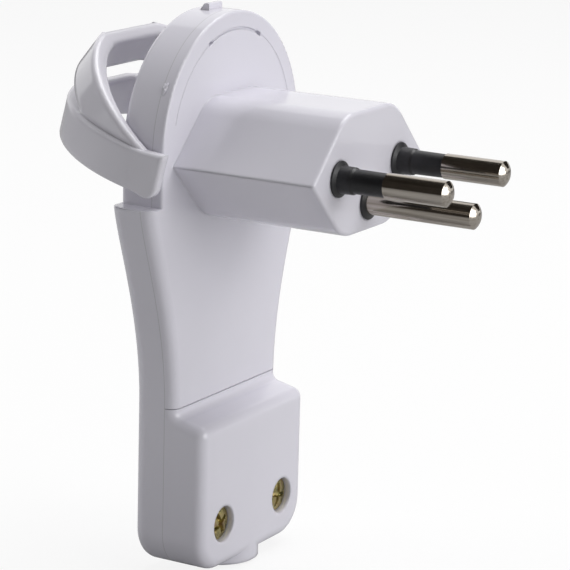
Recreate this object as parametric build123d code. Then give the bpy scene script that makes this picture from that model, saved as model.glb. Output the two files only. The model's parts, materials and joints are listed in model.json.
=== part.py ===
"""Flat three-pin mains plug with a long arm, a terminal box and a folding pull handle.

Frame: the origin is on the front face of the nose, midway between the line and neutral pins.
The pins point along -Y, +X is to the right seen from the front, +Z is up.
"""
from build123d import *
import os
from math import cos, radians, sin, sqrt, tan

# Pins: three round pins in a flat triangle
PIN_D = 4.0
PIN_LENGTH = 19.0
PIN_SPACING = 19.0
EARTH_DROP = 5.0
PIN_DOME = 0.8
NECK_D = 2.8
SHANK_D = 3.2
RIVET_D = 4.6
RIVET_T = 0.7

# Black sleeves on the line and neutral pins, plain collar on the earth pin
SLEEVE_LENGTH = 8.3
SLEEVE_STEP = 2.7
SLEEVE_ROOT_D = 4.3
SLEEVE_TIP_D = 3.8
SLEEVE_DRAFT = 0.1
FLANGE_D = 5.6
FLANGE_PROUD = 0.3
FLANGE_CONE = 0.35
FLANGE_SUNK = 0.9
COLLAR_LENGTH = 0.6

# Nose: a flat hexagon with rounded upper and lower corners
NOSE_WIDTH = 34.8
NOSE_HEIGHT = 19.0
NOSE_LENGTH = 24.6
NOSE_CORNER = 7.0
NOSE_EDGE = 0.5

# Body: round head, shoulders, tapering arm and terminal box, all one depth
BODY_DEPTH = 7.7
FRONT_T = 1.9
WALL = 1.6
HEAD_R = 20.2
HEAD_Z = 1.9
SHOULDER_PROUD = 0.9
SHOULDER_Z = -6.0
WAIST_HALF = 15.7
SHOULDER_PULL = 6.0
SHOULDER_LEAN = 0.15
WAIST_PULL = 14.0
BOX_BOTTOM_Z = -65.6
BOX_CORNER = 6.0
HEAD_EDGE = 0.4
ARM_EDGE = 1.8
HEAD_REAR_EDGE = 1.2
ARM_REAR_EDGE = 2.3

# Face line round the top of the head, deeper between its two small notches
FACE_BORDER = 2.8
FACE_LINE_W = 0.35
FACE_LINE_DEPTH = 0.25
FACE_RING_W = 0.15
FACE_RING_DEPTH = 0.05
FACE_RING_ANGLE = 75.0
NOTCH_ANGLE = 24.0
NOTCH_W = 1.2
NOTCH_DEPTH = 0.7

# Terminal cover: stands forward of the arm below a seam
SEAM_Z = -38.85
SEAM_GAP = 0.12
COVER_FORWARD = 5.3
COVER_LIP = 1.5
COVER_SLOPE = 13.0
COVER_EDGE = 1.8
COVER_COVE = 1.2

# Cable collar under the box
COLLAR_R = 6.55
COLLAR_DROP = 1.2
CORD_BORE_D = 8.0

# Cover screws, one on either side of the collar
SCREW_BESIDE = 2.4
SCREW_Z = -58.3
SCREW_HOLE_D = 5.9
SCREW_SUNK = 0.55
SCREW_HEAD_D = 5.5
SCREW_HEAD_T = 1.9
SCREW_D = 3.0
SCREW_LENGTH = 9.0
BOSS_WALL = 1.5
SCREW_CLEAR = 0.1
THREAD_CLEAR = 0.05
CROSS_LENGTH = 3.4
CROSS_WIDTH = 0.75
CROSS_DEPTH = 1.2
CROSS_TAPER = 8.0

# Proportions common to all the screws
HEAD_BEVEL = 0.25
TIP_BEVEL = 0.25
SMALL_CROSS = 0.6

# Pull handle: two bows on common limbs, turning on trunnions at the sides of the head
PIVOT_Z = -0.2
TRUNNION_R = 1.5
TRUNNION_CLEAR = 0.06
TRUNNION_SINK = 1.4
HANDLE_GAP = 0.25
UPPER_T = 1.85
UPPER_OFFSET = 3.2
UPPER_FOOT_T = 0.25
UPPER_FOOT_OFFSET = 4.8
UPPER_WIDTH = 6.2
UPPER_TILT = 40.5
UPPER_START = 0.8
LOWER_T = 2.1
LOWER_OFFSET = 2.2
LOWER_WIDTH = 6.7
LOWER_TILT = 14.5
BOW_EDGE = 0.6
BACK_SETBACK = 1.05
BACK_ROUND = 5.0
PAD_HALF = 7.2
PAD_STEP = 0.45
LIMB_END = 4.0
LIMB_ROUND = 2.0
LIMB_FLARE = 0.6
LIMB_RISE = 0.6
WEB_T = 0.7
WINDOW_HALF = 8.0

# Stop ridge across the crown of the head
TAB_SETBACK = 1.8
TAB_FOOT = 1.7
TAB_TOP = 0.8
TAB_WIDTH = 3.9
TAB_HEIGHT = 1.0
TAB_ROUND = 0.25

# Conductor strips and pillar terminals
STRIP_T = 0.8
STRIP_W = 4.0
STRIP_HEAD = 3.0
BLOCK_W = 5.0
BLOCK_DEPTH = 4.0
BLOCK_HEIGHT = 7.0
BLOCK_TOP_Z = -43.2
BLOCK_EDGE = 0.3
WIRE_STOP = 0.6
BLOCK_SCREW_D = 2.6
BLOCK_SCREW_HEAD_D = 3.8
BLOCK_SCREW_HEAD_T = 1.0
BLOCK_SCREW_DROP = 2.4
WIRE_BORE_D = 2.2
RIB_W = 2.4

# Cord clamp bar
CLAMP_Z = -52.1
CLAMP_LENGTH = 11.6
CLAMP_HEIGHT = 3.0
CLAMP_T = 2.0
CLAMP_CORD_D = 6.4
CLAMP_ARCH = 0.7
CLAMP_SCREW_X = 4.6
CLAMP_SCREW_D = 1.8
CLAMP_SCREW_HEAD_D = 2.3
CLAMP_SCREW_HEAD_T = 0.9
CLAMP_SCREW_LENGTH = 5.0
CLAMP_POST_D = 2.4

# Places that follow from the sizes above
FAR = 2 * abs(BOX_BOTTOM_Z)
CHEEK_END_Z = SHOULDER_Z - 2 * WALL
TINY = 1e-3
SIDE_PLANE = Plane(origin=(0, 0, 0), x_dir=(0, 1, 0), z_dir=(1, 0, 0))
FACE_Y = NOSE_LENGTH
PART_Y = FACE_Y + FRONT_T
PIVOT_Y = PART_Y + TRUNNION_R
REAR_Y = FACE_Y + BODY_DEPTH
FLOOR_Y = REAR_Y - WALL
COVER_Y = FACE_Y - COVER_FORWARD
COVER_INSIDE_Y = COVER_Y + WALL
COLLAR_Y = (COVER_Y + REAR_Y) / 2
COLLAR_BOTTOM_Z = BOX_BOTTOM_Z - COLLAR_DROP
SCREW_X = COLLAR_R + SCREW_BESIDE
BOW_R = HEAD_R + HANDLE_GAP
SHOULDER_HALF = BOW_R + LOWER_T + SHOULDER_PROUD
FACE_LINE_R = HEAD_R - FACE_BORDER
STRIP_Y = PART_Y + STRIP_T
CLAMP_BACK_Y = FLOOR_Y - CLAMP_CORD_D
PIN_PLACES = {
    "line": (-PIN_SPACING / 2, 0.0),
    "neutral": (PIN_SPACING / 2, 0.0),
    "earth": (0.0, -EARTH_DROP),
}


def front_plane(y, x=0.0, z=0.0):
    """Sketch plane facing the pins: sketch x is X, sketch y is Z, extrusion runs towards -Y."""
    return Plane(origin=(x, y, z), x_dir=(1, 0, 0), z_dir=(0, -1, 0))


def slab(sketch, y_front, y_back):
    """A front-view sketch carried from y_front back to y_back."""
    return extrude(front_plane(y_back) * sketch, y_back - y_front)


def rod(x, z, radius, y_front, y_back):
    """Round rod along Y."""
    return slab(Pos(x, z) * Circle(radius), y_front, y_back)


def block(x0, x1, y0, y1, z0, z1):
    """Plain block between two corners."""
    return Pos((x0 + x1) / 2, (y0 + y1) / 2, (z0 + z1) / 2) * Box(x1 - x0, y1 - y0, z1 - z0)


def turned(points, x, z):
    """Solid of revolution about a pin axis; points are (radius, y), closed on the axis."""
    profile = make_face(Polyline(*points, close=True))
    return Pos(x, 0, z) * revolve(profile, Axis.Y)


def head_outline(inset=0.0):
    """Front view of the head: a disc with straight cheeks that run down into the arm."""
    radius = HEAD_R - inset
    cheeks = Pos(0, (HEAD_Z + CHEEK_END_Z) / 2) * Rectangle(2 * radius, HEAD_Z - CHEEK_END_Z)
    return Pos(0, HEAD_Z) * Circle(radius) + cheeks


def arm_outline(inset=0.0, rise=0.0):
    """Front view of the arm and box below the shoulders; rise carries the sides on upwards."""
    shoulder = SHOULDER_HALF - inset
    shoulder_z = SHOULDER_Z - inset
    waist = WAIST_HALF - inset
    floor = BOX_BOTTOM_Z + inset
    corner = BOX_CORNER - inset
    crest = (shoulder + SHOULDER_LEAN * rise, shoulder_z + rise)
    side = Curve() + [
        Bezier(
            (shoulder, shoulder_z),
            (shoulder - SHOULDER_LEAN * SHOULDER_PULL, shoulder_z - SHOULDER_PULL),
            (waist, SEAM_Z + WAIST_PULL),
            (waist, SEAM_Z),
        ),
        Line((waist, SEAM_Z), (waist, floor + corner)),
        RadiusArc((waist, floor + corner), (waist - corner, floor), corner),
    ]
    if rise:
        side += Line(crest, (shoulder, shoulder_z))
    ends = Curve() + [
        Line((-crest[0], crest[1]), crest),
        Line((waist - corner, floor), (corner - waist, floor)),
    ]
    return make_face(side + mirror(side, Plane.YZ) + ends)


def rounded_body(y_front, y_back, y_edge, head_edge, arm_edge):
    """Head and arm as one slab with the edge at y_edge rounded and the shoulders cut flat."""
    head = slab(head_outline(), y_front, y_back)
    rim = [e for e in edges_at_y(head, y_edge) if e.center().Z > CHEEK_END_Z + TINY]
    head = fillet(rim, head_edge)
    arm = slab(arm_outline(rise=BODY_DEPTH), y_front, y_back)
    flank = [e for e in edges_at_y(arm, y_edge) if e.center().Z < SHOULDER_Z + BODY_DEPTH - TINY]
    arm = fillet(flank, arm_edge) & block(-FAR, FAR, 0, FAR, -FAR, SHOULDER_Z)
    return head + arm


def nose_outline():
    """Flat hexagon: sharp side corners on the pin line, rounded corners above and below."""
    half, rise = NOSE_WIDTH / 2, NOSE_HEIGHT / 2
    points = [(half, 0), (half - rise, rise), (rise - half, rise)]
    hexagon = make_face(Polyline(*points, (-half, 0), *[(-x, -y) for x, y in points[1:]], close=True))
    rounded = [v for v in hexagon.vertices() if abs(abs(v.Y) - rise) < TINY]
    return fillet(rounded, NOSE_CORNER)


def edges_at_y(solid, y):
    """Edges that lie wholly in the plane at this y."""
    return ShapeList(e for e in solid.edges() if abs(e.bounding_box().min.Y - y) < TINY
                     and abs(e.bounding_box().max.Y - y) < TINY)


def face_arc(width, half_angle):
    """Narrow arc on the head face, this many degrees to either side of the top."""
    ends = [(FACE_LINE_R * sin(radians(a)), HEAD_Z + FACE_LINE_R * cos(radians(a)))
            for a in (-half_angle, 0, half_angle)]
    return trace(ThreePointArc(*ends), width)


def front_shell():
    """Nose, head face and arm front in one moulding, with seats for the pins and sleeves."""
    above_seam = block(-FAR, FAR, 0, FAR, SEAM_Z, FAR)
    face = rounded_body(FACE_Y, PART_Y, FACE_Y, HEAD_EDGE, ARM_EDGE) & above_seam
    nose = slab(nose_outline(), 0, FACE_Y)
    nose = fillet(edges_at_y(nose, 0), NOSE_EDGE)
    shell = face + nose
    shell -= slab(face_arc(FACE_RING_W, FACE_RING_ANGLE), FACE_Y, FACE_Y + FACE_RING_DEPTH)
    shell -= slab(face_arc(FACE_LINE_W, NOTCH_ANGLE), FACE_Y, FACE_Y + FACE_LINE_DEPTH)
    for sign in (-1, 1):
        place = Pos(0, HEAD_Z) * Rot(0, 0, 90 + sign * NOTCH_ANGLE) * Pos(FACE_LINE_R, 0)
        shell -= slab(place * Rectangle(NOTCH_W / 2, NOTCH_W), FACE_Y, FACE_Y + NOTCH_DEPTH)
    for x, z in PIN_PLACES.values():
        shell -= rod(x, z, SHANK_D / 2, 0, PART_Y)
        shell -= rod(x, z, FLANGE_D / 2, 0, FLANGE_SUNK)
    return shell


def cover_solid():
    """Outside of the terminal cover: lip under the seam, cove, sloping top and rounded box."""
    lip_z = SEAM_Z - SEAM_GAP
    top = SEAM_Z - COVER_LIP
    fall = tan(radians(COVER_SLOPE))
    lip_foot = (FACE_Y, top + COVER_COVE)
    cove_foot = (FACE_Y - COVER_COVE, top - COVER_COVE * fall)
    front_top = (COVER_Y, top - COVER_FORWARD * fall)
    profile = make_face(Curve() + [
        Line((PART_Y, BOX_BOTTOM_Z), (PART_Y, lip_z)),
        Line((PART_Y, lip_z), (FACE_Y, lip_z)),
        Line((FACE_Y, lip_z), lip_foot),
        RadiusArc(lip_foot, cove_foot, COVER_COVE),
        Line(cove_foot, front_top),
        Line(front_top, (COVER_Y, BOX_BOTTOM_Z)),
        Line((COVER_Y, BOX_BOTTOM_Z), (PART_Y, BOX_BOTTOM_Z)),
    ])
    box = extrude(SIDE_PLANE * profile, WAIST_HALF, both=True)
    box = fillet(box.edges().filter_by(Axis.Y).group_by(Axis.Z)[0], BOX_CORNER)
    sides = [e for e in box.edges() if abs(abs(e.center().X) - WAIST_HALF) < TINY
             and front_top[1] - TINY < e.center().Z < lip_z - TINY and e.center().Y < PART_Y - TINY]
    return fillet(edges_at_y(box, COVER_Y) + sides, COVER_EDGE)


def collar_half(y_front, y_back):
    """Half of the cable collar on one side of the parting plane."""
    tube = Cylinder(COLLAR_R, BOX_CORNER + COLLAR_DROP, align=(Align.CENTER, Align.CENTER, Align.MIN))
    return (Pos(0, COLLAR_Y, COLLAR_BOTTOM_Z) * tube) & block(-FAR, FAR, y_front, y_back, -FAR, 0)


def cord_bore():
    """Round way through the collar for the cord."""
    length = COLLAR_DROP + 2 * WALL
    bore = Cylinder(CORD_BORE_D / 2, length, align=(Align.CENTER, Align.CENTER, Align.MIN))
    return Pos(0, COLLAR_Y, COLLAR_BOTTOM_Z) * bore


def terminal_cover():
    """Hollow cover with two screw wells and the front half of the collar."""
    cover = cover_solid() + collar_half(COVER_Y, PART_Y)
    room = slab(arm_outline(WALL), COVER_INSIDE_Y, PART_Y)
    ceiling = SEAM_Z - COVER_LIP - WALL - (FACE_Y - COVER_INSIDE_Y) * tan(radians(COVER_SLOPE))
    room = room & block(-FAR, FAR, 0, FAR, -FAR, ceiling)
    boss_r = SCREW_HOLE_D / 2 + BOSS_WALL
    for sign in (-1, 1):
        room -= rod(sign * SCREW_X, SCREW_Z, boss_r, COVER_Y, PART_Y)
    cover -= room
    seat = COVER_Y + SCREW_SUNK + SCREW_HEAD_T
    for sign in (-1, 1):
        cover -= rod(sign * SCREW_X, SCREW_Z, SCREW_HOLE_D / 2, COVER_Y, seat)
        cover -= rod(sign * SCREW_X, SCREW_Z, SCREW_D / 2 + SCREW_CLEAR, COVER_Y, PART_Y)
    return cover - cord_bore()


def crown_ridge():
    """Small stop on top of the head, upright in front and sloping behind."""
    crown = HEAD_Z + HEAD_R
    front = PART_Y + TAB_SETBACK
    points = [
        (front, crown - WALL),
        (front, crown + TAB_HEIGHT),
        (front + TAB_TOP, crown + TAB_HEIGHT),
        (front + TAB_FOOT, crown - TAB_ROUND),
        (front + TAB_FOOT, crown - WALL),
    ]
    ridge = extrude(SIDE_PLANE * make_face(Polyline(*points, close=True)), TAB_WIDTH / 2, both=True)
    return fillet(ridge.edges().group_by(Axis.Z)[-1], TAB_ROUND)


def rear_shell():
    """Back half of the body: hollow, with trunnions, stop tab, screw posts and strip ribs."""
    shell = rounded_body(PART_Y, REAR_Y, REAR_Y, HEAD_REAR_EDGE, ARM_REAR_EDGE)
    shell -= slab(head_outline(WALL) + arm_outline(WALL), PART_Y, FLOOR_Y)
    shell += collar_half(PART_Y, REAR_Y)
    shell += crown_ridge()
    trunnion_end = BOW_R + TRUNNION_SINK
    for sign in (-1, 1):
        stub = Pos(sign * HEAD_R, PIVOT_Y, PIVOT_Z) * Rot(0, sign * 90, 0) * Pos(0, 0, -WALL / 2)
        length = trunnion_end - HEAD_R + WALL / 2
        shell += stub * Cylinder(TRUNNION_R, length, align=(Align.CENTER, Align.CENTER, Align.MIN))
        shell += rod(sign * SCREW_X, SCREW_Z, SCREW_D / 2 + BOSS_WALL, PART_Y, FLOOR_Y)
        shell += rod(sign * CLAMP_SCREW_X, CLAMP_Z, CLAMP_POST_D / 2, CLAMP_BACK_Y, FLOOR_Y)
    for x, z in PIN_PLACES.values():
        shell += block(x - RIB_W / 2, x + RIB_W / 2, STRIP_Y, FLOOR_Y,
                       BLOCK_TOP_Z - BLOCK_HEIGHT, BLOCK_TOP_Z)
    for sign in (-1, 1):
        shell -= rod(sign * SCREW_X, SCREW_Z, SCREW_D / 2 + THREAD_CLEAR, PART_Y, FLOOR_Y)
        shell -= rod(sign * CLAMP_SCREW_X, CLAMP_Z, CLAMP_SCREW_D / 2 + THREAD_CLEAR, CLAMP_BACK_Y, FLOOR_Y)
    return shell - cord_bore()


def dome_points(radius, tip, height):
    """Points of a shallow domed tip, from the axis out to the rim."""
    sphere = (radius ** 2 + height ** 2) / (2 * height)
    steps = 6
    points = []
    for i in range(steps + 1):
        r = radius * i / steps
        points.append((r, tip + sphere - sqrt(sphere ** 2 - r ** 2)))
    return points


def pin(x, z, bare_from):
    """Turned pin: domed tip, full diameter to the sleeve, neck under it, shank and rivet head."""
    tail = PART_Y + STRIP_T
    points = dome_points(PIN_D / 2, -PIN_LENGTH, PIN_DOME) + [
        (PIN_D / 2, -bare_from),
        (NECK_D / 2, -bare_from),
        (NECK_D / 2, FLANGE_SUNK),
        (SHANK_D / 2, FLANGE_SUNK),
        (SHANK_D / 2, tail),
        (RIVET_D / 2, tail),
        (RIVET_D / 2, tail + RIVET_T),
        (0, tail + RIVET_T),
    ]
    return turned(points, x, z)


def sleeve(x, z):
    """Stepped black sleeve with a coned flange sunk in the nose."""
    points = [
        (NECK_D / 2, FLANGE_SUNK),
        (FLANGE_D / 2, FLANGE_SUNK),
        (FLANGE_D / 2, -FLANGE_PROUD),
        (SLEEVE_ROOT_D / 2, -FLANGE_PROUD - FLANGE_CONE),
        ((SLEEVE_ROOT_D - SLEEVE_DRAFT) / 2, -SLEEVE_STEP),
        (SLEEVE_TIP_D / 2, -SLEEVE_STEP - FLANGE_CONE),
        ((SLEEVE_TIP_D - SLEEVE_DRAFT) / 2, -SLEEVE_LENGTH),
        (NECK_D / 2, -SLEEVE_LENGTH),
    ]
    return turned(points, x, z)


def earth_collar(x, z):
    """Short black collar round the foot of the earth pin."""
    points = [
        (NECK_D / 2, FLANGE_SUNK),
        (FLANGE_D / 2, FLANGE_SUNK),
        (FLANGE_D / 2, -FLANGE_PROUD),
        (PIN_D / 2, -COLLAR_LENGTH),
        (NECK_D / 2, -COLLAR_LENGTH),
    ]
    return turned(points, x, z)


def bow_plan(radius, centre):
    """Half disc on straight limbs, seen square to the bow; the trunnion line is sketch x."""
    limbs = Pos(0, (centre - LOWER_WIDTH) / 2) * Rectangle(2 * radius, centre + LOWER_WIDTH)
    upper_half = Pos(0, centre + radius / 2) * Rectangle(2 * radius, radius)
    return limbs + (Pos(0, centre) * Circle(radius) & upper_half)


def bow_opening():
    """Inside of both bows: it would lie round the head if folded up, and is flat across the back."""
    centre = HEAD_Z - PIVOT_Z
    back = centre + BOW_R - BACK_SETBACK
    plan = bow_plan(BOW_R, centre) & (Pos(0, back - FAR / 2) * Rectangle(FAR, FAR))
    return fillet(plan.vertices().group_by(Axis.Y)[-1], BACK_ROUND)


def bow(outside, side):
    """Solid outside of a bow, cut to its side view and opened for the head."""
    band = outside & extrude(SIDE_PLANE * side, FAR, both=True)
    return band - extrude(bow_opening(), FAR, both=True)


def back_pad(radius, centre):
    """Room cut away for the shallow flat at the back of a bow."""
    reach = centre + sqrt(radius ** 2 - PAD_HALF ** 2) - PAD_STEP
    return block(-PAD_HALF, PAD_HALF, reach, FAR, -FAR, FAR)


def upper_bow():
    """Bow that rises out of the lower limbs, full along its top and drawn in below."""
    half = UPPER_WIDTH / 2
    radius = BOW_R + UPPER_T
    crest = Pos(0, 0, half) * bow_plan(radius, UPPER_OFFSET)
    foot = Pos(0, 0, -half) * bow_plan(BOW_R + UPPER_FOOT_T, UPPER_FOOT_OFFSET)
    side = Pos(UPPER_START, 0) * Rectangle(FAR, UPPER_WIDTH, align=(Align.MIN, Align.CENTER))
    band = bow(loft([foot, crest], ruled=True), side)
    across = band.edges().filter_by(Axis.X)
    rims = [e for e in band.edges().group_by(Axis.Z)[-1] if e not in across]
    return Rot(UPPER_TILT, 0, 0) * (fillet(rims, BOW_EDGE) - back_pad(radius, UPPER_OFFSET))


def lower_bow():
    """Plain bow whose limbs run on past the trunnions, deeper and rounded at the end."""
    half = LOWER_WIDTH / 2
    side = make_face(Polyline((-LIMB_END, half + LIMB_RISE), (0, half), (FAR, half), (FAR, -half),
                              (0, -half), (-LIMB_END, -half - LIMB_FLARE), close=True))
    corner = side.vertices().group_by(Axis.X)[0].sort_by(Axis.Y)[0]
    radius = BOW_R + LOWER_T
    outside = extrude(bow_plan(radius, LOWER_OFFSET), LOWER_WIDTH, both=True)
    band = bow(outside, fillet(corner, LIMB_ROUND))
    across = band.edges().filter_by(Axis.X)
    rims = [e for e in band.edges() if e not in across
            and (e.center().Y < 0 or abs(abs(e.center().Z) - half) < TINY)]
    return Rot(LOWER_TILT, 0, 0) * (fillet(rims, BOW_EDGE) - back_pad(radius, LOWER_OFFSET))


def handle_web():
    """Thin wall that joins the two bows beside the finger window."""
    wall = bow_plan(BOW_R + WEB_T, HEAD_Z - PIVOT_Z) - bow_opening()
    sides = Pos(WINDOW_HALF, TRUNNION_R) * Rectangle(FAR, FAR, align=(Align.MIN, Align.MIN))
    kept = wall & (sides + mirror(sides, Plane.YZ))
    return Rot(LOWER_TILT, 0, 0) * revolve(kept, Axis.X, UPPER_TILT - LOWER_TILT)


def pull_handle():
    """Double bow in one moulding, bored blind at both limbs for the trunnions."""
    handle = upper_bow() + lower_bow() + handle_web()
    bore_reach = BOW_R + TRUNNION_SINK + HANDLE_GAP
    handle -= Rot(0, 90, 0) * Cylinder(TRUNNION_R + TRUNNION_CLEAR, 2 * bore_reach)
    return Pos(0, PIVOT_Y, PIVOT_Z) * handle


def conductor_strip(x, z):
    """Flat strip from the riveted pin tail down to its terminal."""
    strip = block(x - STRIP_W / 2, x + STRIP_W / 2, PART_Y, STRIP_Y,
                  BLOCK_TOP_Z - BLOCK_HEIGHT, z + STRIP_HEAD)
    strip -= rod(x, z, SHANK_D / 2, PART_Y, STRIP_Y)
    return strip - rod(x, BLOCK_TOP_Z - BLOCK_SCREW_DROP, BLOCK_SCREW_D / 2, PART_Y, STRIP_Y)


def terminal_block(x):
    """Pillar terminal: wire bore from below, clamp screw from the front."""
    pillar = block(x - BLOCK_W / 2, x + BLOCK_W / 2, PART_Y - BLOCK_DEPTH, PART_Y,
                   BLOCK_TOP_Z - BLOCK_HEIGHT, BLOCK_TOP_Z)
    pillar = chamfer(edges_at_y(pillar, PART_Y - BLOCK_DEPTH), BLOCK_EDGE)
    wire_z = BLOCK_TOP_Z - BLOCK_HEIGHT
    wire = Cylinder(WIRE_BORE_D / 2, BLOCK_HEIGHT - BLOCK_SCREW_DROP - BLOCK_SCREW_D / 2 - WIRE_STOP,
                    align=(Align.CENTER, Align.CENTER, Align.MIN))
    pillar -= Pos(x, PART_Y - BLOCK_DEPTH / 2, wire_z) * wire
    return pillar - rod(x, BLOCK_TOP_Z - BLOCK_SCREW_DROP, BLOCK_SCREW_D / 2, 0, PART_Y)


def cheese_screw(x, z, head_y, head_d, head_t, shank_d, length, cross_length, cross_depth):
    """Cross-recess screw along Y: head face at head_y, shank running back."""
    edge = head_t * HEAD_BEVEL
    point = shank_d * TIP_BEVEL
    points = [
        (0, head_y),
        (head_d / 2 - edge, head_y),
        (head_d / 2, head_y + edge),
        (head_d / 2, head_y + head_t),
        (shank_d / 2, head_y + head_t),
        (shank_d / 2, head_y + head_t + length - point),
        (shank_d / 2 - point, head_y + head_t + length),
        (0, head_y + head_t + length),
    ]
    screw = turned(points, x, z)
    arm = cross_length * CROSS_WIDTH / CROSS_LENGTH
    cross = Rectangle(cross_length, arm) + Rectangle(arm, cross_length)
    recess = extrude(front_plane(head_y, x, z) * cross, -cross_depth, taper=CROSS_TAPER)
    return screw - recess


def clamp_bar():
    """Arched bar that presses the cord against the floor of the rear shell."""
    front = CLAMP_BACK_Y - CLAMP_T
    bar = block(-CLAMP_LENGTH / 2, CLAMP_LENGTH / 2, front, CLAMP_BACK_Y,
                CLAMP_Z - CLAMP_HEIGHT / 2, CLAMP_Z + CLAMP_HEIGHT / 2)
    arch = Cylinder(CLAMP_CORD_D / 2, 2 * CLAMP_HEIGHT)
    bar -= Pos(0, CLAMP_BACK_Y + CLAMP_CORD_D / 2 - CLAMP_ARCH, CLAMP_Z) * arch
    for sign in (-1, 1):
        bar -= rod(sign * CLAMP_SCREW_X, CLAMP_Z, CLAMP_SCREW_D / 2 + THREAD_CLEAR, front, CLAMP_BACK_Y)
    return bar


def build():
    """All pieces by node name."""
    nodes = {
        "front_shell": front_shell(),
        "rear_shell": rear_shell(),
        "terminal_cover": terminal_cover(),
        "pull_handle": pull_handle(),
        "cord_clamp": clamp_bar(),
    }
    for name, (x, z) in PIN_PLACES.items():
        live = name != "earth"
        nodes[name + "_pin"] = pin(x, z, SLEEVE_LENGTH if live else COLLAR_LENGTH)
        if live:
            nodes[name + "_sleeve"] = sleeve(x, z)
        else:
            nodes["earth_collar"] = earth_collar(x, z)
        nodes[name + "_strip"] = conductor_strip(x, z)
        nodes[name + "_terminal"] = terminal_block(x)
        nodes[name + "_terminal_screw"] = cheese_screw(
            x, BLOCK_TOP_Z - BLOCK_SCREW_DROP, PART_Y - BLOCK_DEPTH - BLOCK_SCREW_HEAD_T,
            BLOCK_SCREW_HEAD_D, BLOCK_SCREW_HEAD_T, BLOCK_SCREW_D, BLOCK_DEPTH + STRIP_T,
            BLOCK_SCREW_HEAD_D * SMALL_CROSS, BLOCK_SCREW_HEAD_T * SMALL_CROSS)
    for side, sign in (("left", -1), ("right", 1)):
        nodes["cover_screw_" + side] = cheese_screw(
            sign * SCREW_X, SCREW_Z, COVER_Y + SCREW_SUNK, SCREW_HEAD_D, SCREW_HEAD_T, SCREW_D,
            SCREW_LENGTH - SCREW_HEAD_T, CROSS_LENGTH, CROSS_DEPTH)
        nodes["clamp_screw_" + side] = cheese_screw(
            sign * CLAMP_SCREW_X, CLAMP_Z, CLAMP_BACK_Y - CLAMP_T - CLAMP_SCREW_HEAD_T,
            CLAMP_SCREW_HEAD_D, CLAMP_SCREW_HEAD_T, CLAMP_SCREW_D, CLAMP_SCREW_LENGTH,
            CLAMP_SCREW_HEAD_D * SMALL_CROSS, CLAMP_SCREW_HEAD_T * SMALL_CROSS)
    return nodes


os.makedirs("parts", exist_ok=True)
for node, shape in build().items():
    export_step(shape, "parts/" + node + ".step")
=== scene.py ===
# %% [markdown]
# A flat mains plug with a long arm and a looped pull handle, lit like a catalogue picture.
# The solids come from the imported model, already in metres and in their final places.
# Blender adds finishes, light, a camera and the fine forms that a moulding carries.

import json
import math

import bmesh
import bpy
import numpy as np
from mathutils import Matrix, Vector


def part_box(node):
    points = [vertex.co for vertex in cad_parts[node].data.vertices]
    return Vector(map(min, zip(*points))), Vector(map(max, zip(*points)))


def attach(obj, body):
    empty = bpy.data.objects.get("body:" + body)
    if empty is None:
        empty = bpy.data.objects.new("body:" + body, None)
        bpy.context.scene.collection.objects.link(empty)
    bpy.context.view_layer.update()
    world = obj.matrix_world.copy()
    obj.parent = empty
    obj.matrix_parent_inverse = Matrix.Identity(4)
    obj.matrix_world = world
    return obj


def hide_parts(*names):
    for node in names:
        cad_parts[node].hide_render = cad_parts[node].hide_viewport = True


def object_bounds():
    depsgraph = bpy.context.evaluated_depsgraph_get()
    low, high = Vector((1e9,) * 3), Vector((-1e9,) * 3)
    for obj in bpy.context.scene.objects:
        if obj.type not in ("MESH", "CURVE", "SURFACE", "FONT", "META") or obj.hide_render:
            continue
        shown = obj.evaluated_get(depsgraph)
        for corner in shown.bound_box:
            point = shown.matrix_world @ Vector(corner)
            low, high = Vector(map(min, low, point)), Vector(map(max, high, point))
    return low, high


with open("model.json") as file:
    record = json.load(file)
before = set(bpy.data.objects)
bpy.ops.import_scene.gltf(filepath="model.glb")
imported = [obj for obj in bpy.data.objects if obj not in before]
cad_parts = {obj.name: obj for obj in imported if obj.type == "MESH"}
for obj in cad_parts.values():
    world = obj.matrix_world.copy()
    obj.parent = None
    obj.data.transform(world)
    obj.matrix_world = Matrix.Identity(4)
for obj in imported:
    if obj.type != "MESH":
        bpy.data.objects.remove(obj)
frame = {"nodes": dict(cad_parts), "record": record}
nodes = frame["nodes"]
cad_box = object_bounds()
MM = 0.001
print("nodes:", len(nodes), "box:", [tuple(round(c, 4) for c in p) for p in cad_box])

# %% [markdown]
# The camera stands in front of the plug, to its left and a little above it.
# Its direction is written as three angles, which say more to a reader than a matrix does.
# A long lens far away keeps the pins almost parallel, as in a product picture.

# %% Camera
IMAGE_SIDE = 570
SENSOR_MM = 36.0
FOCAL_PIXELS = 2695.5
AZIMUTH = math.radians(-59.885)
ELEVATION = math.radians(13.684)
ROLL = math.radians(1.517)
DISTANCE = 412.07 * MM
SHIFT_RIGHT = 12.974 * MM
SHIFT_UP = 17.681 * MM
NEAREST, FARTHEST = 0.01, 20.0


def camera_axes():
    """Right, up and backward unit vectors of a camera that looks at the origin, then rolls."""
    back = Vector((math.cos(ELEVATION) * math.sin(AZIMUTH),
                   -math.cos(ELEVATION) * math.cos(AZIMUTH),
                   math.sin(ELEVATION)))
    right = Vector((0, 0, 1)).cross(back).normalized()
    up = back.cross(right)
    c, s = math.cos(ROLL), math.sin(ROLL)
    return right * c + up * s, up * c - right * s, back


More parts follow.
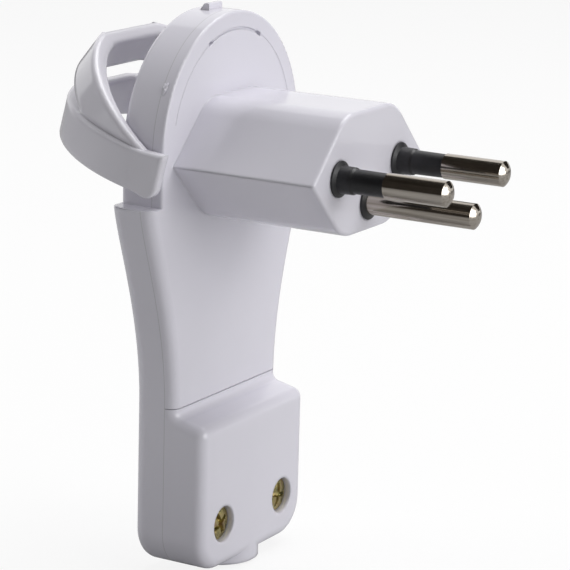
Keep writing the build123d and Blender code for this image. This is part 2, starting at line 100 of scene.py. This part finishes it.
def add_camera():
    """Place the camera along its backward axis and slide it so the plug sits in the frame."""
    right, up, back = camera_axes()
    data = bpy.data.cameras.new("studio_camera")
    data.sensor_width = SENSOR_MM
    data.lens = SENSOR_MM * FOCAL_PIXELS / IMAGE_SIDE
    data.clip_start = NEAREST
    data.clip_end = FARTHEST
    camera = bpy.data.objects.new("studio_camera", data)
    bpy.context.scene.collection.objects.link(camera)
    place = back * DISTANCE - right * SHIFT_RIGHT - up * SHIFT_UP
    turn = Matrix((right, up, back)).transposed().to_4x4()
    camera.matrix_world = Matrix.Translation(place) @ turn
    bpy.context.scene.camera = camera
    return camera


camera = add_camera()
print("lens", round(camera.data.lens, 2), "at", [round(c, 4) for c in camera.location])

# %% [markdown]
# Finishes. The real plug is white moulded plastic with nickel pins, black sleeves and yellow zinc
# screws. None of these is one flat colour: plastic is a little uneven, drawn pins carry fine
# streaks along them and passivated zinc shifts from gold to olive. A noise texture can drive
# colour, gloss and bump at once. It reads Object coordinates, so the pattern stays on the piece
# from every side. Noise seldom comes near 0 or 1, so only its middle is spread over a finish.

# %% Helpers for patterned finishes
GLOSS_SPAN = (0.3, 0.7)
COLOUR_SPAN = (0.32, 0.68)
NOISE_DETAIL = 3.0
EVEN = (1.0, 1.0, 1.0)


def new_finish(name, colour, roughness, metallic=0.0):
    """Principled finish with plain constant values on the shader's own sockets."""
    finish = bpy.data.materials.new(name)
    finish.use_nodes = True
    shader = finish.node_tree.nodes["Principled BSDF"]
    shader.inputs["Base Color"].default_value = (*colour, 1.0)
    shader.inputs["Roughness"].default_value = roughness
    shader.inputs["Metallic"].default_value = metallic
    return finish, shader


def maths(tree, operation, *values):
    """Result of a Math node; each value is a number or a socket of another node."""
    node = tree.nodes.new("ShaderNodeMath")
    node.operation = operation
    for socket, value in zip(node.inputs, values):
        if isinstance(value, bpy.types.NodeSocket):
            tree.links.new(value, socket)
        else:
            socket.default_value = value
    return node.outputs["Value"]


def stretched(tree, source, span, result):
    """The source socket with its span laid over the span of the result, clamped at both ends."""
    node = tree.nodes.new("ShaderNodeMapRange")
    for name, value in zip(("From Min", "From Max", "To Min", "To Max"), (*span, *result)):
        node.inputs[name].default_value = value
    tree.links.new(source, node.inputs["Value"])
    return node.outputs["Result"]


def object_noise(finish, cells, stretch=EVEN):
    """Noise of this many cells per metre; a small stretch number draws it out along that axis."""
    tree = finish.node_tree
    place = tree.nodes.new("ShaderNodeTexCoord")
    drawn = tree.nodes.new("ShaderNodeMapping")
    drawn.inputs["Scale"].default_value = stretch
    noise = tree.nodes.new("ShaderNodeTexNoise")
    noise.inputs["Scale"].default_value = cells
    noise.inputs["Detail"].default_value = NOISE_DETAIL
    tree.links.new(place.outputs["Object"], drawn.inputs["Vector"])
    tree.links.new(drawn.outputs["Vector"], noise.inputs["Vector"])
    return noise.outputs["Fac"]


def vary_roughness(finish, shader, noise, gloss):
    """Roughness runs with the noise from the first value of gloss to the second."""
    tree = finish.node_tree
    tree.links.new(stretched(tree, noise, GLOSS_SPAN, gloss), shader.inputs["Roughness"])


def vary_colour(finish, shader, noise, colours):
    """Colours spread evenly over the middle of the noise, one after another."""
    tree = finish.node_tree
    ramp = tree.nodes.new("ShaderNodeValToRGB")
    stops = ramp.color_ramp.elements
    places = np.linspace(*COLOUR_SPAN, len(colours))
    for extra in places[1:-1]:
        stops.new(float(extra))
    for stop, place, colour in zip(stops, places, colours):
        stop.position = float(place)
        stop.color = (*colour, 1.0)
    tree.links.new(noise, ramp.inputs["Fac"])
    tree.links.new(ramp.outputs["Color"], shader.inputs["Base Color"])
    return ramp.outputs["Color"]


def add_bump(finish, shader, noise, height):
    """Bump of this height in metres between the low and high of the noise."""
    tree = finish.node_tree
    bump = tree.nodes.new("ShaderNodeBump")
    bump.inputs["Distance"].default_value = height
    tree.links.new(noise, bump.inputs["Height"])
    tree.links.new(bump.outputs["Normal"], shader.inputs["Normal"])
    return bump


print("helpers ready")

# %% [markdown]
# White plastic. A glossy moulding has a faint orange peel, a slow drift in tone and, on the
# housing, a hairline where the two half shells meet. The hairline lies in one plane, so it is a
# thin slice of the Object coordinate Y that takes a darker tone; modelling a gap of a tenth of a
# millimetre would add thousands of faces for the same line.
# Moulded edges also catch a soft band of light. The Bevel node turns the shading normal round
# each edge for that. It fades out near the parting plane, where the shells meet face to face.

# %% White plastic
PARTING_Y = 26.5 * MM
HAIRLINE = 0.06 * MM
HAIRLINE_TONE = (0.62, 0.615, 0.65)
HOUSING_TONES = [(0.755, 0.74, 0.810), (0.785, 0.77, 0.840)]
HANDLE_TONES = [(0.755, 0.74, 0.800), (0.785, 0.77, 0.830)]
HOUSING_EDGE = 0.8 * MM
HANDLE_EDGE = 1.2 * MM
EDGE_FADE = (1.0 * MM, 3.0 * MM)
EDGE_SAMPLES = 8
WHITE_IOR = 1.5
WHITE_ROUGHNESS = 0.09
WHITE_GLOSS = (0.07, 0.13)
DRIFT_CELLS = 40.0
GLOSS_CELLS = 120.0
PEEL_CELLS = 700.0
PEEL_HEIGHT = 2.5e-6


def object_y(finish):
    """Socket with the Object coordinate Y."""
    tree = finish.node_tree
    place = tree.nodes.new("ShaderNodeTexCoord")
    split = tree.nodes.new("ShaderNodeSeparateXYZ")
    tree.links.new(place.outputs["Object"], split.inputs["Vector"])
    return split.outputs["Y"]


def soft_edges(finish, bump, radius):
    """Shading normals turn over this radius at every edge, and less near the parting plane."""
    tree = finish.node_tree
    away = maths(tree, "ABSOLUTE", maths(tree, "SUBTRACT", object_y(finish), PARTING_Y))
    edge = tree.nodes.new("ShaderNodeBevel")
    edge.samples = EDGE_SAMPLES
    tree.links.new(stretched(tree, away, EDGE_FADE, (0.0, radius)), edge.inputs["Radius"])
    tree.links.new(edge.outputs["Normal"], bump.inputs["Normal"])


def white_moulding(name, tones, edge):
    """Glossy white plastic with a slow drift in tone, a faint orange peel and soft edges."""
    finish, shader = new_finish(name, tones[-1], WHITE_ROUGHNESS)
    shader.inputs["IOR"].default_value = WHITE_IOR
    colour = vary_colour(finish, shader, object_noise(finish, DRIFT_CELLS), tones)
    vary_roughness(finish, shader, object_noise(finish, GLOSS_CELLS), WHITE_GLOSS)
    bump = add_bump(finish, shader, object_noise(finish, PEEL_CELLS), PEEL_HEIGHT)
    soft_edges(finish, bump, edge)
    return finish, shader, colour


def draw_parting_line(finish, shader, colour):
    """Where Y is within a hairline of the parting plane, the colour takes the hairline's tone."""
    tree = finish.node_tree
    mix = tree.nodes.new("ShaderNodeMix")
    mix.data_type = "RGBA"
    mix.inputs["B"].default_value = (*HAIRLINE_TONE, 1.0)
    near = maths(tree, "COMPARE", object_y(finish), PARTING_Y, HAIRLINE)
    tree.links.new(near, mix.inputs["Factor"])
    tree.links.new(colour, mix.inputs["A"])
    tree.links.new(mix.outputs["Result"], shader.inputs["Base Color"])


housing_white, housing_shader, housing_colour = white_moulding(
    "housing_white", HOUSING_TONES, HOUSING_EDGE)
draw_parting_line(housing_white, housing_shader, housing_colour)
handle_white, _, _ = white_moulding("handle_white", HANDLE_TONES, HANDLE_EDGE)
print("plastic:", housing_white.name, handle_white.name)

# %% [markdown]
# Metal. The pins are drawn and plated, so their streaks run along Y: the noise is stretched fifty
# times that way. The screws are dipped, and the film shows as patches of gold, olive and brown.
# The strips and terminals inside are plain brass with a little tarnish. The sleeves and the cord
# clamp are plain plastic with a fine grain.

# %% Metal and plain plastic
ALONG_PIN = (1.0, 0.02, 1.0)
ALONG_STRIP = (1.0, 1.0, 0.2)
GRAIN_CELLS = 3000.0
GRAIN_HEIGHT = 2.0e-6
TINT_CELLS = 250.0


def plated_metal(name, colours, cells, stretch, gloss, height):
    """Metal whose colour, roughness and bump all follow one noise."""
    finish, shader = new_finish(name, colours[0], gloss[0], metallic=1.0)
    noise = object_noise(finish, cells, stretch)
    vary_colour(finish, shader, noise, colours)
    vary_roughness(finish, shader, noise, gloss)
    add_bump(finish, shader, noise, height)
    return finish


def matt_plastic(name, colours, gloss):
    """Plain plastic with a fine grain."""
    finish, shader = new_finish(name, colours[0], gloss[0])
    grain = object_noise(finish, GRAIN_CELLS)
    vary_colour(finish, shader, object_noise(finish, TINT_CELLS), colours)
    vary_roughness(finish, shader, grain, gloss)
    add_bump(finish, shader, grain, GRAIN_HEIGHT)
    return finish


nickel = plated_metal(
    "nickel_plate", [(0.34, 0.30, 0.255), (0.46, 0.42, 0.37), (0.53, 0.49, 0.44)],
    cells=2600.0, stretch=ALONG_PIN, gloss=(0.17, 0.09), height=1.2e-6)
zinc = plated_metal(
    "yellow_zinc", [(0.20, 0.19, 0.08), (0.47, 0.40, 0.17), (0.36, 0.26, 0.15)],
    cells=900.0, stretch=EVEN, gloss=(0.22, 0.42), height=2.0e-5)
brass = plated_metal(
    "bare_brass", [(0.52, 0.37, 0.17), (0.72, 0.55, 0.26)],
    cells=500.0, stretch=ALONG_STRIP, gloss=(0.40, 0.25), height=2.0e-6)
sleeve_black = matt_plastic(
    "sleeve_black", [(0.009, 0.009, 0.0105), (0.014, 0.014, 0.0165)], gloss=(0.36, 0.50))
clamp_grey = matt_plastic(
    "clamp_grey", [(0.38, 0.38, 0.40), (0.44, 0.44, 0.46)], gloss=(0.45, 0.55))
print("metal:", nickel.name, zinc.name, brass.name, "plain:", sleeve_black.name, clamp_grey.name)

# %% [markdown]
# The record names a material slot for every piece, so one table of finishes dresses them all.

# %% Finishes on the pieces
FINISHES = {
    "housing": housing_white,
    "handle": handle_white,
    "pins": nickel,
    "sleeves": sleeve_black,
    "screws": zinc,
    "conductors": brass,
    "clamp": clamp_grey,
}


def dress_nodes():
    """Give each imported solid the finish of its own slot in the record."""
    for part in frame["record"]["subparts"]:
        mesh = nodes[part["node"]].data
        mesh.materials.clear()
        mesh.materials.append(FINISHES[part["material_slot"]])


dress_nodes()
print("finishes:", sorted(FINISHES))

# %% [markdown]
# The cover screws. A real one has a domed head with a cross punched into it and a rolled thread.
# Booleans could cut the cross, but they leave ragged triangles on a dome. Here one grid makes the
# whole screw: rings of points run from the middle of the head, over its rim and down the shank.
# The cross is a dip in the depth of the first rings, and the thread is a ripple in the radius of
# the last ones.

# %% Skin over rings
SHARP_ANGLE = math.radians(40)


def ring_skin(name, rings):
    """Closed skin over rings[row, column] of points: quads between rings, a fan at both ends."""
    rows, columns, _ = rings.shape
    here = np.arange(columns)
    after = (here + 1) % columns
    start = np.arange(rows - 1)[:, None] * columns
    below = start + columns
    quads = np.stack([start + here, start + after, below + after, below + here], axis=2)
    ends = np.stack([rings[0].mean(axis=0), rings[-1].mean(axis=0)])
    first = np.stack([np.full(columns, rows * columns), after, here], axis=1)
    last = np.stack([np.full(columns, rows * columns + 1), below[-1] + here, below[-1] + after],
                    axis=1)
    mesh = bpy.data.meshes.new(name)
    mesh.from_pydata(np.vstack([rings.reshape(-1, 3), ends]).tolist(), [],
                     quads.reshape(-1, 4).tolist() + first.tolist() + last.tolist())
    work = bmesh.new()
    work.from_mesh(mesh)
    bmesh.ops.recalc_face_normals(work, faces=work.faces)
    work.to_mesh(mesh)
    work.free()
    mesh.polygons.foreach_set("use_smooth", np.ones(len(mesh.polygons), dtype=bool))
    mesh.set_sharp_from_angle(angle=SHARP_ANGLE)
    piece = bpy.data.objects.new(name, mesh)
    bpy.context.scene.collection.objects.link(piece)
    return piece


print("ring skin ready")

# %% Cover screws
SCREW_HEAD_R = 2.75 * MM
SCREW_HEAD_T = 1.9 * MM
CROWN = 0.45 * MM
CROSS_REACH = 1.85 * MM
CROSS_HALF = 0.42 * MM
CROSS_DEPTH = 1.15 * MM
CROSS_WALL = 0.14 * MM
CROSS_FALL = 0.6
SHANK_R = 1.5 * MM
THREAD_PITCH = 0.5 * MM
THREAD_DEPTH = 0.2 * MM
SCREW_COLUMNS = 96
DOME_RINGS = 48
SHANK_RINGS = 84
DOME_START_R = 0.03 * MM
DOME_END_R = SCREW_HEAD_R * 0.96
RIM_R = SCREW_HEAD_R * np.array([0.985, 1.0, 1.0, 0.985])
RIM_D = np.array([CROWN, CROWN + 0.12 * MM, SCREW_HEAD_T - 0.05 * MM, SCREW_HEAD_T])
TIP_R = SHANK_R * np.array([0.7, 0.45])
LEFT_TURN = math.radians(28)
RIGHT_TURN = math.radians(-12)


def cross_dip(u, v):
    """Depth of the cross at (u, v): steep walls, and a floor that falls towards the middle."""
    arm = np.minimum(np.maximum(np.abs(u) - CROSS_REACH, np.abs(v) - CROSS_HALF),
                     np.maximum(np.abs(v) - CROSS_REACH, np.abs(u) - CROSS_HALF))
    wall = np.clip(-arm / CROSS_WALL, 0, 1)
    floor_share = 1 - CROSS_FALL * np.hypot(u, v) / CROSS_REACH
    return CROSS_DEPTH * wall ** 2 * (3 - 2 * wall) * floor_share


def cover_screw(name, node, turn):
    """Rings (x + r cos a, y + d, z + r sin a): r and d follow the outline, a runs round it."""
    low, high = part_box(node)
    x, y, z = (low[0] + high[0]) / 2, low[1], (low[2] + high[2]) / 2
    length = high[1] - low[1]
    a = np.linspace(0, 2 * math.pi, SCREW_COLUMNS, endpoint=False)[None, :]
    dome_r = np.linspace(DOME_START_R, DOME_END_R, DOME_RINGS)[:, None]
    dip = cross_dip(dome_r * np.cos(a - turn), dome_r * np.sin(a - turn))
    dome_d = CROWN * (dome_r / SCREW_HEAD_R) ** 2 + dip
    shank_d = np.linspace(SCREW_HEAD_T, length - SHANK_R / 2, SHANK_RINGS)[:, None]
    ripple = np.abs((shank_d / THREAD_PITCH + a / (2 * math.pi)) % 1 - 0.5) * 2
    shank_r = SHANK_R - THREAD_DEPTH * ripple
    tip_d = np.array([length - SHANK_R / 6, length])
    flat = np.zeros_like(a)
    r = np.vstack([dome_r + flat, RIM_R[:, None] + flat, shank_r, TIP_R[:, None] + flat])
    d = np.vstack([dome_d, RIM_D[:, None] + flat, shank_d + flat, tip_d[:, None] + flat])
    rings = np.stack([x + r * np.cos(a), y + d, z + r * np.sin(a)], axis=2)
    screw = ring_skin(name, rings)
    screw.data.materials.append(zinc)
    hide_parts(node)
    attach(screw, "housing")
    return screw


left_screw = cover_screw("crossed_screw_left", "cover_screw_left", LEFT_TURN)
right_screw = cover_screw("crossed_screw_right", "cover_screw_right", RIGHT_TURN)
print("screws:", left_screw.name, right_screw.name, "faces", len(left_screw.data.polygons))

# %% [markdown]
# A moulding often keeps a small rough pip where the plastic ran in. This one sits on the left of
# the head, by the parting line. It is a flattened ball with a few lumps, sunk halfway into the
# wall.

# %% Moulding pip
PIP_ANGLE = math.radians(30)
PIP_Y = 26.2 * MM
PIP_OUT, PIP_ACROSS, PIP_ALONG = 0.22 * MM, 0.45 * MM, 1.0 * MM
PIP_RINGS = 14
PIP_COLUMNS = 24
PIP_POLE = 0.08
LUMP_BROAD = 0.22
LUMP_FINE = 0.12
HEAD_SIDE_R = 20.2 * MM
HEAD_CENTRE_Z = 1.9 * MM


def moulding_pip():
    """Ball (cos p, sin p cos q, sin p sin q) times its half sizes, with lumps of a few waves."""
    p = np.linspace(PIP_POLE, math.pi - PIP_POLE, PIP_RINGS)[:, None]
    q = np.linspace(0, 2 * math.pi, PIP_COLUMNS, endpoint=False)[None, :]
    broad = LUMP_BROAD * np.sin(3 * q + 0.6) * np.sin(p)
    lump = 1 + broad + LUMP_FINE * np.sin(5 * q + 2 * p)
    out = PIP_OUT * lump * np.cos(p)
    across = PIP_ACROSS * lump * np.sin(p) * np.cos(q)
    along = PIP_ALONG * lump * np.sin(p) * np.sin(q)
    angle = PIP_ANGLE + along / HEAD_SIDE_R
    reach = HEAD_SIDE_R + out
    rings = np.stack([-reach * np.cos(angle), PIP_Y + across,
                      HEAD_CENTRE_Z + reach * np.sin(angle)], axis=2)
    pip = ring_skin("moulding_pip", rings)
    pip.data.materials.append(housing_white)
    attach(pip, "housing")
    return pip


pip = moulding_pip()
print("pip faces", len(pip.data.polygons))

# %% [markdown]
# The floor is pale paper. Paper this white would throw a lot of light back up at the plug, so the
# camera sees it glow white with a light shadow, while bounced light finds a middle grey.

# %% Paper floor
FLOOR_SIZE = 6.0
FLOOR_DROP = 0.5 * MM
PAPER_GLOW = 0.86
PAPER_WHITE = (0.95, 0.95, 0.95)
PAPER_GREY = (0.5, 0.5, 0.5)
PAPER_ROUGHNESS = 0.9


def floor_grid(size, height):
    """A flat square sheet: x and y run over a 2 by 2 grid, z is constant."""
    x, y = np.meshgrid([-size / 2, size / 2], [-size / 2, size / 2])
    points = np.stack([x.ravel(), y.ravel(), np.full(4, height)], axis=1)
    mesh = bpy.data.meshes.new("studio_floor")
    mesh.from_pydata(points.tolist(), [], [(0, 1, 3, 2)])
    sheet = bpy.data.objects.new("studio_floor", mesh)
    bpy.context.scene.collection.objects.link(sheet)
    return sheet


def paper_finish():
    """Paper that is white to the camera with a light shadow, and grey to bounced light."""
    finish, shader = new_finish("studio_paper", PAPER_GREY, PAPER_ROUGHNESS)
    tree = finish.node_tree
    seen = tree.nodes.new("ShaderNodeLightPath").outputs["Is Camera Ray"]
    tone = tree.nodes.new("ShaderNodeMix")
    tone.data_type = "RGBA"
    tone.inputs["A"].default_value = (*PAPER_GREY, 1.0)
    tone.inputs["B"].default_value = (*PAPER_WHITE, 1.0)
    glow = tree.nodes.new("ShaderNodeEmission")
    glow.inputs["Strength"].default_value = 1.0
    mix = tree.nodes.new("ShaderNodeMixShader")
    tree.links.new(seen, tone.inputs["Factor"])
    tree.links.new(tone.outputs["Result"], shader.inputs["Base Color"])
    tree.links.new(maths(tree, "MULTIPLY", seen, PAPER_GLOW), mix.inputs["Fac"])
    tree.links.new(shader.outputs["BSDF"], mix.inputs[1])
    tree.links.new(glow.outputs["Emission"], mix.inputs[2])
    tree.links.new(mix.outputs["Shader"], tree.nodes["Material Output"].inputs["Surface"])
    return finish


floor = floor_grid(FLOOR_SIZE, cad_box[0][2] - FLOOR_DROP)
floor.data.materials.append(paper_finish())
print("floor at", round(cad_box[0][2] - FLOOR_DROP, 4))

# %% [markdown]
# The room. The camera and shiny surfaces see it as plain white. Soft light from it stays low and
# even, so the lamps shape the plug.

# %% Room
ROOM_LIGHT = 0.16


def room_light():
    """Even grey room for soft light, plain white where the camera or a shiny surface looks."""
    world = bpy.data.worlds.new("studio_room")
    bpy.context.scene.world = world
    world.use_nodes = True
    tree = world.node_tree
    tree.nodes.clear()
    rays = tree.nodes.new("ShaderNodeLightPath").outputs
    direct = maths(tree, "MAXIMUM", rays["Is Camera Ray"], rays["Is Glossy Ray"])
    seen = maths(tree, "MAXIMUM", direct, rays["Is Transmission Ray"])
    soft = tree.nodes.new("ShaderNodeBackground")
    soft.inputs["Strength"].default_value = ROOM_LIGHT
    white = tree.nodes.new("ShaderNodeBackground")
    white.inputs["Strength"].default_value = 1.0
    for shade in (soft, white):
        shade.inputs["Color"].default_value = (1.0, 1.0, 1.0, 1.0)
    mix = tree.nodes.new("ShaderNodeMixShader")
    out = tree.nodes.new("ShaderNodeOutputWorld")
    tree.links.new(seen, mix.inputs["Fac"])
    tree.links.new(soft.outputs["Background"], mix.inputs[1])
    tree.links.new(white.outputs["Background"], mix.inputs[2])
    tree.links.new(mix.outputs["Shader"], out.inputs["Surface"])
    return world


room = room_light()
print("room:", room.name, ROOM_LIGHT)

# %% [markdown]
# Drapes. A dark one arches over the left of the set and a small one hangs on the right. Only
# reflections see them: they draw the dark bands on the pins, while the backdrop stays white.

# %% Drapes
DRAPE_RADIUS = 1.5
DRAPE_TONE = (0.125, 0.108, 0.092)
DRAPE_ROUGHNESS = 1.0
DRAPE_RINGS = 17
DRAPE_COLUMNS = 49
DRAPES = {
    "left_drape": (Vector((-0.80, 0.25, 0.55)), math.radians(78)),
    "right_drape": (Vector((0.84, -0.30, 0.45)), math.radians(24)),
}


def drape_cap(name, axis, spread):
    """Cap r (sin p cos q, sin p sin q, cos p), p from 0 to spread, with its pole turned to axis."""
    p, q = np.meshgrid(np.linspace(0, spread, DRAPE_RINGS),
                       np.linspace(0, 2 * math.pi, DRAPE_COLUMNS), indexing="ij")
    cap = DRAPE_RADIUS * np.stack([np.sin(p) * np.cos(q), np.sin(p) * np.sin(q), np.cos(p)], axis=2)
    turn = np.array(axis.to_track_quat("Z", "Y").to_matrix())
    points = cap.reshape(-1, 3) @ turn.T
    rows, columns = p.shape
    cell = np.arange(rows - 1)[:, None] * columns + np.arange(columns - 1)[None, :]
    faces = np.stack([cell, cell + 1, cell + columns + 1, cell + columns], axis=2).reshape(-1, 4)
    mesh = bpy.data.meshes.new(name)
    mesh.from_pydata(points.tolist(), [], faces.tolist())
    drape = bpy.data.objects.new(name, mesh)
    bpy.context.scene.collection.objects.link(drape)
    drape.visible_camera = False
    drape.visible_diffuse = False
    drape.visible_shadow = False
    drape.visible_transmission = False
    return drape


drape_dark, _ = new_finish("drape_dark", DRAPE_TONE, DRAPE_ROUGHNESS)
for drape_name, (drape_axis, drape_spread) in DRAPES.items():
    drape = drape_cap(drape_name, drape_axis, drape_spread)
    drape.data.materials.append(drape_dark)
print("drapes:", sorted(DRAPES))

# %% [markdown]
# Lamps. One big soft box hangs overhead on the right, one stands in front, and a weak one behind
# lifts the handle; reflections don't see that one. Large lamps this near give soft shadows.

# %% Lamps
AIM = Vector((0.0, 0.02, -0.02))


def soft_box(name, place, side, power):
    """Square lamp of this side at place, facing the plug."""
    data = bpy.data.lights.new(name, "AREA")
    data.shape = "SQUARE"
    data.size = side
    data.energy = power
    lamp = bpy.data.objects.new(name, data)
    bpy.context.scene.collection.objects.link(lamp)
    lamp.location = place
    lamp.rotation_euler = (AIM - Vector(place)).to_track_quat("-Z", "Y").to_euler()
    return lamp


top_box = soft_box("top_box", place=(0.30, -0.06, 0.70), side=0.6, power=4.6)
front_box = soft_box("front_box", place=(0.06, -0.78, 0.16), side=0.6, power=3.8)
back_fill = soft_box("back_fill", place=(-0.28, 0.75, 0.36), side=0.5, power=2.2)
back_fill.visible_glossy = False
bpy.context.scene.view_settings.view_transform = "Standard"
print("lamps:", [lamp.name for lamp in (top_box, front_box, back_fill)])
